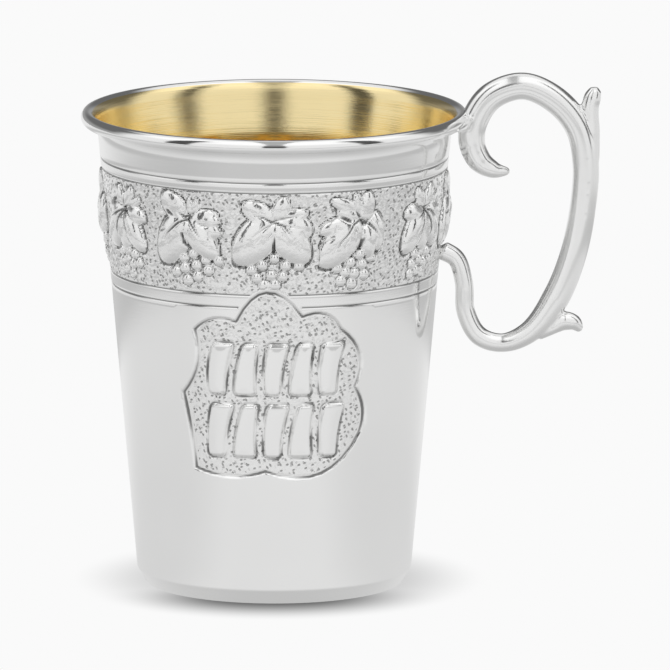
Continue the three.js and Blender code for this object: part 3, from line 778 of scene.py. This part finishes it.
THORN = [
    (41.5, 39.4, 2.4), (44.2, 40.5, 2.3), (45.8, 41.3, 3.1), (47.2, 40.95, 2.6),
    (48.15, 39.95, 1.3),
]
DEPTH_RATIO = 0.94  # a bar's depth for each mm of width
SLIMMER = 0.995  # width of a bar, where 1 is the solid's
TIP_LENGTH = 0.3  # for each mm of the last width
GROOVE = (0.1, 0.22)  # place and half width across a bar, from -1 to 1
GROOVE_DEPTH = 0.13  # share of the bar's depth
TONGUE_SWEEP = 19.0  # degrees round the lip, to each side
TONGUE_WIDTH = 2.0
TONGUE_DROP = 0.6
TONGUE_TAPER = 0.85
TONGUE_THICKNESS = 0.7  # for each mm of its width
HANDLE_VOXEL = 0.17
HANDLE_SMOOTHING = 14


def curve_points(points, steps):
    """Points and directions of a centripetal Catmull-Rom curve, and each one's place
    counted in stations."""
    points = [np.array(p, dtype=float) for p in points]
    ends = [2 * points[0] - points[1], *points, 2 * points[-1] - points[-2]]
    places = [step / steps * (len(points) - 1) for step in range(steps + 1)]
    out, ways = [], []
    for place in places:
        i = min(int(place), len(points) - 2)
        p0, p1, p2, p3 = ends[i:i + 4]
        d0, d1, d2 = (np.linalg.norm(gap) ** 0.5 for gap in (p1 - p0, p2 - p1, p3 - p2))
        m1 = ((p1 - p0) / d0 - (p2 - p0) / (d0 + d1) + (p2 - p1) / d1) * d1
        m2 = ((p2 - p1) / d1 - (p3 - p1) / (d1 + d2) + (p3 - p2) / d2) * d1
        t = place - i
        b = -3 * p1 + 3 * p2 - 2 * m1 - m2
        a = 2 * p1 - 2 * p2 + m1 + m2
        out.append(p1 + m1 * t + b * t * t + a * t ** 3)
        way = m1 + 2 * b * t + 3 * a * t * t
        ways.append(way / np.linalg.norm(way))
    return np.array(out), np.array(ways), np.array(places)


def closed_skin(name, rings, start, end):
    """A closed mesh over rings of points with a tip at each end."""
    sides = len(rings[0])
    points = [start, *np.concatenate(rings), end]
    last = 1 + (len(rings) - 1) * sides
    faces = []
    for i in range(sides):
        j = (i + 1) % sides
        faces.append((0, 1 + j, 1 + i))
        faces += [(low + i, low + j, low + sides + j, low + sides + i)
                  for low in range(1, last, sides)]
        faces.append((last + i, last + j, len(points) - 1))
    mesh = bpy.data.meshes.new(name)
    mesh.from_pydata((np.array(points) * MM).tolist(), [], faces)
    return add_object(name, mesh)


def rod_groove(side, place):
    """A shallow groove down the middle of both faces, from the curl to the stem."""
    shown = smooth(0.6, 2.0, place) * (1 - smooth(9.6, 11.2, place))
    return 1 - GROOVE_DEPTH * shown * bump(side, *GROOVE)


def rod(name, stations, steps, sides, groove=lambda side, place: 1.0):
    """A bar with an oval section, along a curve in the plane y = 0."""
    middle, way, place = curve_points([(x, z) for x, z, _ in stations], steps)
    widths = np.interp(place, np.arange(len(stations)), [w for _, _, w in stations])
    turns = even_turns(sides)
    side = np.cos(turns)
    rings = []
    for m, w, width, at in zip(middle, way, widths, place):
        half = width / 2 * SLIMMER
        deep = half * DEPTH_RATIO * np.sin(turns) * groove(side, at)
        rings.append(np.stack([m[0] + w[1] * half * side, deep,
                               m[1] - w[0] * half * side], axis=-1))
    start = middle[0] - way[0] * widths[0] * TIP_LENGTH
    end = middle[-1] + way[-1] * widths[-1] * TIP_LENGTH
    return closed_skin(name, rings, (start[0], 0, start[1]), (end[0], 0, end[1]))


def tongue(name, way):
    """A tapered tongue that clasps the outside of the lip."""
    reach = LIP_RADIUS - 0.1
    z = CUP_HEIGHT - BEAD_RADIUS - TONGUE_DROP
    round_turns = -way * even_turns(16)
    rings = []
    for t in np.linspace(0, 1, 19):
        half = TONGUE_WIDTH / 2 * math.sqrt(1 - TONGUE_TAPER * t * t)
        turn = way * math.radians(TONGUE_SWEEP) * t
        out = reach + half * TONGUE_THICKNESS * np.cos(round_turns)
        rings.append(np.stack([out * math.cos(turn), out * math.sin(turn),
                               z + half * np.sin(round_turns)], axis=-1))
    tip = way * math.radians(TONGUE_SWEEP + 1.5)
    return closed_skin(name, rings, (reach, 0, z),
                       (reach * math.cos(tip), reach * math.sin(tip), z))


def keep_in_box(mesh, *boxes):
    """Holds the mesh inside the box round the given boxes."""
    low = np.min([b[0] for b in boxes], axis=0)
    high = np.max([b[1] for b in boxes], axis=0)
    points = np.empty(len(mesh.vertices) * 3)
    mesh.vertices.foreach_get("co", points)
    mesh.vertices.foreach_set("co", np.clip(points.reshape(-1, 3), low, high).ravel())
    mesh.update()


def handle(material):
    """Scroll, thumb leaf, thorn and tongues, melted into one casting."""
    body = rod("handle_scroll", ROD, 170, 32, rod_groove)
    parts = [rod("thumb_leaf", THUMB_LEAF, 30, 24), rod("thorn", THORN, 26, 20),
             tongue("tongue_back", 1), tongue("tongue_front", -1)]
    with bpy.context.temp_override(active_object=body,
                                   selected_editable_objects=[body, *parts]):
        bpy.ops.object.join()
    remesh = body.modifiers.new("blend", "REMESH")
    remesh.mode = "VOXEL"
    remesh.voxel_size = HANDLE_VOXEL * MM
    ease = body.modifiers.new("ease", "SMOOTH")
    ease.factor = 0.5
    ease.iterations = HANDLE_SMOOTHING
    graph = bpy.context.evaluated_depsgraph_get()
    mesh = bpy.data.meshes.new_from_object(body.evaluated_get(graph))
    body.modifiers.clear()
    body.data = mesh
    keep_in_box(mesh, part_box("handle"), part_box("cup_body"))
    mesh.shade_smooth()
    mesh.materials.clear()
    mesh.materials.append(material)
    body.name = "handle_cast"
    return body


# ---- Node helpers ----
class Nodes:
    """Short ways to write node sums in one tree."""

    def __init__(self, owner):
        owner.use_nodes = True
        self.tree = owner.node_tree
        self.tree.nodes.clear()

    def new(self, kind, inputs=(), **settings):
        """A node with its inputs, which are values or other nodes' outputs."""
        node = self.tree.nodes.new("ShaderNode" + kind)
        for key, value in settings.items():
            setattr(node, key, value)
        for key, value in dict(inputs).items():
            if isinstance(value, bpy.types.NodeSocket):
                self.tree.links.new(value, node.inputs[key])
            else:
                node.inputs[key].default_value = value
        return node

    def math(self, operation, *values):
        return self.new("Math", enumerate(values), operation=operation).outputs[0]

    def plus(self, a, b):
        return self.math("ADD", a, b)

    def times(self, a, b):
        return self.math("MULTIPLY", a, b)

    def ramp(self, value, low, high, out_low=0.0, out_high=1.0):
        given = enumerate((value, low, high, out_low, out_high))
        return self.new("MapRange", given, interpolation_type="SMOOTHSTEP").outputs[0]

    def mix(self, factor, a, b):
        """Two colours, or two numbers."""
        kind, first, result = ("RGBA", 6, 2) if isinstance(b, tuple) else ("FLOAT", 2, 0)
        given = {0: factor, first: a, first + 1: b}
        return self.new("Mix", given, data_type=kind).outputs[result]

    def attribute(self, label):
        return self.new("Attribute", attribute_name=label).outputs["Fac"]

    def split(self, vector):
        return self.new("SeparateXYZ", {0: vector}).outputs

    def noise(self, vector, scale, detail=2.0, roughness=0.5):
        given = {"Vector": vector, "Scale": scale, "Detail": detail, "Roughness": roughness}
        return self.new("TexNoise", given).outputs["Fac"]

    def stretched(self, vector, scale):
        return self.new("Mapping", {"Vector": vector, "Scale": scale}).outputs[0]

    def bump(self, height, strength, distance, under=None, **settings):
        given = {"Height": height, "Strength": strength, "Distance": distance}
        if under is not None:
            given["Normal"] = under
        return self.new("Bump", given, **settings).outputs["Normal"]

    def finish(self, shader, kind="Material"):
        self.new("Output" + kind, {"Surface": shader.outputs[0]})

    def metal(self, colour, polish, normal):
        self.finish(self.new("BsdfPrincipled", {
            "Metallic": 1.0, "Base Color": colour, "Roughness": polish, "Normal": normal}))

    def glow(self, strength):
        self.finish(self.new("Emission", {"Strength": strength}))


def new_material(name):
    material = bpy.data.materials.new(name)
    return material, Nodes(material)


# ---- Materials ----
SILVER_TONE = (0.93, 0.93, 0.925, 1)
# Painted shade in the cuts of the chasing.
CUT_SHADE_TONE = (0.12, 0.12, 0.118, 1)
GROUND_TONE = (0.72, 0.72, 0.71, 1)
# Painted shade in the punch marks.
PUNCH_SHADE_TONE = (0.18, 0.18, 0.175, 1)
GILT_TONES = (0.93, 0.765, 0.41, 1), (0.965, 0.81, 0.46, 1)
HAIRLINES = (400.0, 400.0, 6000.0)  # scale of the noise along x, y and z
SPIN_RINGS = (12.0, 12.0, 5200.0)
PUNCHES = ((0.35, 0.86, 0.40), (-0.95, 0.95, 0.50))  # turn, pitch, share left out
PUNCH_LONG, PUNCH_SHORT = 1.25, 0.72  # a cell's sides, where 1 is the pitch


def punched(n, place, ground):
    """Small oval punch marks in two directions, 1 in the middle of a mark."""
    along = n.attribute("along")
    up = n.math("DIVIDE", n.split(place)[2], MM)
    marks = None
    for turn, pitch, left_out in PUNCHES:
        p = n.plus(n.times(along, math.cos(turn)), n.times(up, math.sin(turn)))
        q = n.math("SUBTRACT", n.times(up, math.cos(turn)), n.times(along, math.sin(turn)))
        spot = n.new("CombineXYZ", {0: n.math("DIVIDE", p, pitch * PUNCH_LONG),
                                    1: n.math("DIVIDE", q, pitch * PUNCH_SHORT)})
        cells = n.new("TexVoronoi", {"Vector": spot.outputs[0], "Scale": 1.0},
                      voronoi_dimensions="2D")
        chance = n.new("SeparateColor", {0: cells.outputs["Color"]}).outputs[0]
        mark = n.times(n.ramp(cells.outputs["Distance"], 0.13, 0.31, 1.0, 0.0),
                       n.ramp(chance, left_out, left_out + 0.3))
        marks = mark if marks is None else n.math("MAXIMUM", marks, mark)
    return n.times(marks, n.ramp(ground, 0.5, 0.95))


def silver(name, rough=0.09, chased=False):
    """Polished sterling: small changes of tone and polish, hairline wear, and painted shade
    that darkens the recesses of the chasing, where the metal is also duller. The chased
    one also has a hammered surface on its leaves and grapes, and the finest punch marks,
    with painted shade in them."""
    material, n = new_material(name)
    place = n.new("TexCoord").outputs["Object"]
    cut_shade = n.attribute("cut_shade")
    ground = n.attribute("ground")
    broad = n.noise(place, 70.0, 3.0)
    fine = n.noise(place, 900.0, 3.0)
    hair = n.noise(n.stretched(place, HAIRLINES), 1.0, 3.0, 0.6)
    darker = tuple(0.95 * c for c in SILVER_TONE[:3]) + (1,)
    colour = n.mix(broad, darker, SILVER_TONE)
    # Painted shade: the cuts of the chasing are darkened in the colour.
    colour = n.mix(n.times(n.ramp(cut_shade, 0.22, 0.75), 0.88), colour, CUT_SHADE_TONE)
    colour = n.mix(n.times(ground, 0.06), colour, GROUND_TONE)
    polish = n.plus(rough - 0.02, n.times(fine, 0.04))
    polish = n.plus(polish, n.times(cut_shade, 0.18))
    polish = n.plus(polish, n.times(ground, 0.05))
    normal = n.bump(n.plus(n.times(hair, 0.3), broad), 0.05, 0.0002)
    if chased:
        raised = n.times(n.ramp(ground, 0.08, 0.3), n.ramp(ground, 0.4, 0.9, 1.0, 0.2))
        hammered = n.noise(place, 1300.0)
        normal = n.bump(hammered, n.times(raised, 0.55), 0.0001, normal)
        polish = n.plus(polish, n.times(raised, 0.04))
        marks = punched(n, place, ground)
        # Painted shade: the punch marks are darkened in the colour as well as bumped.
        colour = n.mix(n.times(marks, 0.66), colour, PUNCH_SHADE_TONE)
        normal = n.bump(marks, 0.75, 0.00013, normal, invert=True)
    n.metal(colour, polish, normal)
    return material


def gilt():
    """Pale gilding with the fine rings of the spinning and polishing under it."""
    material, n = new_material("gilt_inside")
    place = n.new("TexCoord").outputs["Object"]
    rings = n.noise(n.stretched(place, SPIN_RINGS), 1.0, 4.0, 0.65)
    broad = n.noise(place, 55.0, 3.0)
    normal = n.bump(n.plus(rings, n.times(broad, 1.5)), 0.12, 0.0002)
    n.metal(n.mix(broad, *GILT_TONES), n.plus(0.08, n.times(rings, 0.10)), normal)
    return material


# ---- Studio ----
FLOOR_HALF = 3000.0
FLOOR_GAP = 0.03  # the floor lies this far under the cup
FLOOR_SEEN = 0.956  # brightness of the floor as the camera sees it
# Painted light: brightness of the glowing floor in the silver, by distance from the cup's
# axis: from, to, and the brightness at each of the two.
MIRROR_LEVEL = (60.0, 150.0, 0.80, 0.845)
MIRROR_DIP = (160.0, 195.0, 1.0, 0.71)
MIRROR_RETURN = (230.0, 310.0, 0.71, 1.0)
# Dark gaps in the front light: direction in degrees (right is positive) and width.
GAPS = ((-60.0, 16), (60.0, 14))
GAP_SOFTNESS, GAP_TOP, GAP_LIGHT = 4, 56, 0.10
# Three cards hang edge to edge: y, z and half width of the edges, and each one's light.
CARD_EDGES = ((-300, 70, 35), (-300, 200, 35), (-300, 300, 26), (60, 300, 26))
CARDS = (("flag_ahead", 0.09), ("flag_above", 0.32), ("flag_over", 0.45))


def plane(name, corners):
    """A flat stage piece. Gives its object and the nodes of its own material."""
    mesh = bpy.data.meshes.new(name)
    mesh.from_pydata([Vector(c) * MM for c in corners], [], [(0, 1, 2, 3)])
    thing = add_object(name, mesh)
    material, n = new_material(name)
    mesh.materials.append(material)
    return thing, n


def studio_floor():
    """Pale floor that glows, with a painted soft contact shadow. The camera sees one
    brightness of it and the silver mirrors another, a painted falloff of light."""
    corners = [(across * FLOOR_HALF, back * FLOOR_HALF, -FLOOR_GAP)
               for across, back in ((-1, -1), (1, -1), (1, 1), (-1, 1))]
    _, n = plane("studio_floor", corners)
    parts = n.split(n.new("NewGeometry").outputs["Position"])
    x, y = (n.math("DIVIDE", parts[axis], MM) for axis in (0, 1))
    r = n.math("SQRT", n.plus(n.times(x, x), n.times(y, y)))
    away = n.math("SUBTRACT", r, FOOT_RADIUS)
    forward = n.ramp(n.math("DIVIDE", n.times(y, -1.0), r), 0.35, 1.0)
    rightward = n.ramp(n.math("DIVIDE", x, r), 0.2, 1.0)
    # The painted shadow is stronger in front, and reaches a little further to the right.
    side_shadow = n.ramp(away, -3.0, n.plus(12.5, n.times(rightward, 1.2)),
                         n.math("SUBTRACT", 0.70, n.times(rightward, 0.06)), 1.0)
    front_shadow = n.ramp(away, -2.2, 13.5, 0.12, 1.0)
    seen = n.times(n.mix(forward, side_shadow, front_shadow), FLOOR_SEEN)
    mirrored = n.ramp(r, *MIRROR_LEVEL)
    mirrored = n.times(mirrored, n.math("MAXIMUM", n.ramp(r, *MIRROR_DIP),
                                        n.ramp(r, *MIRROR_RETURN)))
    # Painted falloff: the floor in the silver is darker towards the sides.
    sideways = n.math("DIVIDE", n.math("ABSOLUTE", x), r)
    mirrored = n.times(mirrored, n.ramp(sideways, 0.45, 0.95, 1.0, 0.90))
    # Painted sheen: the floor in the silver is brighter where it is seen at a slant.
    slant = n.new("LayerWeight", {"Blend": 0.5}).outputs["Facing"]
    mirrored = n.times(mirrored, n.ramp(slant, 0.0, 0.62, 0.72, 1.0))
    n.glow(n.mix(n.new("LightPath").outputs["Is Camera Ray"], mirrored, seen))


def studio_flags():
    """Cards that only the silver sees: a dark one straight ahead of the cup, a grey one
    over it and a grey bar overhead."""
    for (name, light), first, second in zip(CARDS, CARD_EDGES, CARD_EDGES[1:]):
        card, n = plane(name, [(side * half, y, z) for (y, z, half), side in (
            (first, -1), (first, 1), (second, 1), (second, -1))])
        card.visible_camera = False
        n.glow(light)


def studio_world():
    """Soft light in front with dark gaps, more overhead, and a dim back."""
    world = bpy.data.worlds.new("studio")
    bpy.context.scene.world = world
    n = Nodes(world)
    x, y, z = n.split(n.new("TexCoord").outputs["Generated"])
    turn = n.math("DEGREES", n.math("ARCTAN2", x, n.times(y, -1.0)))
    height = n.math("DEGREES", n.math("ARCSINE", z))
    front_light = n.ramp(height, 22.0, 45.0, 1.1, 1.4)
    upward = n.ramp(height, GAP_TOP - 4.0, GAP_TOP + 8.0, 1.0, 0.0)
    for middle, width in GAPS:
        off = n.math("ABSOLUTE", n.math("SUBTRACT", turn, middle))
        edge = ((width - GAP_SOFTNESS) / 2, (width + GAP_SOFTNESS) / 2)
        across = n.ramp(off, *edge, 1.0, 0.0)
        front_light = n.mix(n.times(across, upward), front_light, GAP_LIGHT)
    back_light = n.ramp(height, 4.0, 16.0, 0.42, 0.18)
    back_light = n.mix(n.ramp(height, 38.0, 50.0), back_light, 1.1)
    back = n.ramp(n.math("ABSOLUTE", turn), 96.0, 116.0)
    light = n.mix(back, front_light, back_light)
    n.finish(n.new("Background", {"Strength": light}), "World")


# The photo's camera, fitted to the lip, the engraved lines and the foot.
LENS, SENSOR = 774.3, 36.0
EYE = (0.0, -2230.4, 446.7)
AIM = (9.53, 0.0, 39.02)
ROLL = math.radians(0.083)


def camera():
    data = bpy.data.cameras.new("camera")
    data.sensor_width = SENSOR
    data.lens = LENS
    data.clip_start = 0.05
    data.clip_end = 20.0
    eye = add_object("camera", data)
    eye.location = Vector(EYE) * MM
    look = (Vector(AIM) - Vector(EYE)).to_track_quat("-Z", "Y")
    eye.rotation_euler = (look @ Quaternion((0, 0, 1), ROLL)).to_euler()
    bpy.context.scene.camera = eye


# ---- Scene ----
studio_world()
studio_floor()
studio_flags()
camera()
bpy.context.scene.view_settings.view_transform = "Standard"
bpy.context.scene.cycles.glossy_bounces = 8

cup = beaker([silver("silver_chased", chased=True), gilt()])
cast = handle(silver("silver_cast", rough=0.17))
for piece, node, slot in ((cup, "cup_body", "silver"), (cast, "handle", "cast_silver")):
    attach(piece, "root")
    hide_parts(node)
